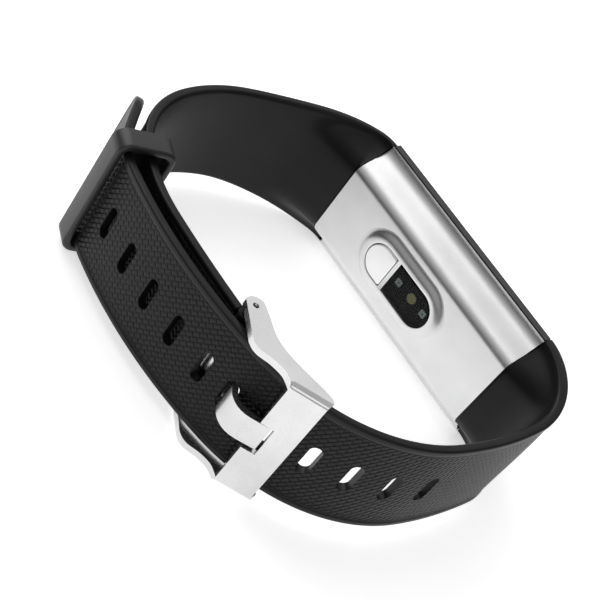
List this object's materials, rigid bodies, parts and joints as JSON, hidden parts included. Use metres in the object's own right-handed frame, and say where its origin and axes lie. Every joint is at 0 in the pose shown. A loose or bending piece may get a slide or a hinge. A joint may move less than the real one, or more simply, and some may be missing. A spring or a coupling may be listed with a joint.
{
  "type": "fitness tracker band",
  "caption": "Slim wrist tracker with a satin metal back, an optical sensor island, two rubber straps, a prong buckle on a spring bar and a sliding keeper, closed in a loop.",
  "frame": {"origin": "centre of the box round the closed band, on the floor it lies on", "axes": "+Z across the band (the wrist's axis), +X along the tracker towards the strap that carries the buckle, -Y out of the display"},
  "size_m": [0.06, 0.0482, 0.0192],
  "materials": {
    "satin_silver": "satin, plated",
    "contact_metal": "smooth steel electrode",
    "window_black": "smoked glossy window",
    "circuit_board": "solder mask",
    "lamp_lens": "clear lens over a lamp",
    "photodiode_face": "dark sensor face",
    "housing_black": "fine satin black",
    "cover_glass": "black-backed cover glass",
    "display_dark": "unlit display",
    "chip_package": "moulded package",
    "battery_pouch": "foil pouch",
    "motor_can": "drawn can",
    "flex_cable": "polyimide",
    "pin_steel": "ground steel",
    "strap_rubber": "satin black elastomer, knurled outside",
    "keeper_rubber": "satin black elastomer",
    "buckle_metal": "satin polished"
  },
  "bodies": {
    "tracker": {"back_cover": "satin_silver", "sensor_bezel": "satin_silver", "contact_plate": "contact_metal", "sensor_window": "window_black", "sensor_board": "circuit_board", "sensor_led": "lamp_lens", "photodiode_upper": "photodiode_face", "photodiode_lower": "photodiode_face", "front_housing": "housing_black", "cover_glass": "cover_glass", "display_panel": "display_dark", "main_board": "circuit_board", "processor_chip": "chip_package", "radio_chip": "chip_package", "battery": "battery_pouch", "vibration_motor": "motor_can", "sensor_flex": "flex_cable", "buckle_strap_pin": "pin_steel", "hole_strap_pin": "pin_steel", "hole_strap": "strap_rubber", "buckle_strap": "strap_rubber", "bar_tube": "pin_steel", "bar_spring": "pin_steel"},
    "buckle": {"buckle_frame": "buckle_metal"},
    "tongue": {"buckle_tongue": "buckle_metal"},
    "keeper": {"keeper_loop": "keeper_rubber"},
    "plunger_near": {"bar_plunger_near": "pin_steel"},
    "plunger_far": {"bar_plunger_far": "pin_steel"}
  },
  "joints": [
    {"name": "buckle_swing", "type": "hinge", "parent": "tracker", "child": "buckle", "pos_m": [-0.00569, 0.02038, 0.0096], "axis": [0, 0, -1], "range_deg": [0, 100]},
    {"name": "tongue_swing", "type": "hinge", "parent": "tracker", "child": "tongue", "pos_m": [-0.00569, 0.02038, 0.0096], "axis": [0, 0, -1], "range_deg": [0, 3]},
    {"name": "keeper_slide", "type": "hinge", "parent": "tracker", "child": "keeper", "pos_m": [0.00346, -0.01912, 0.0096], "axis": [0, 0, 1], "range_deg": [0, 16]},
    {"name": "plunger_near_slide", "type": "slide", "parent": "tracker", "child": "plunger_near", "axis": [0, 0, -1], "range_m": [0, 0.0008], "stiffness_N_per_m": 200, "springref_m": -0.001},
    {"name": "plunger_far_slide", "type": "slide", "parent": "tracker", "child": "plunger_far", "axis": [0, 0, 1], "range_m": [0, 0.0008], "stiffness_N_per_m": 200, "springref_m": -0.001}
  ]
}
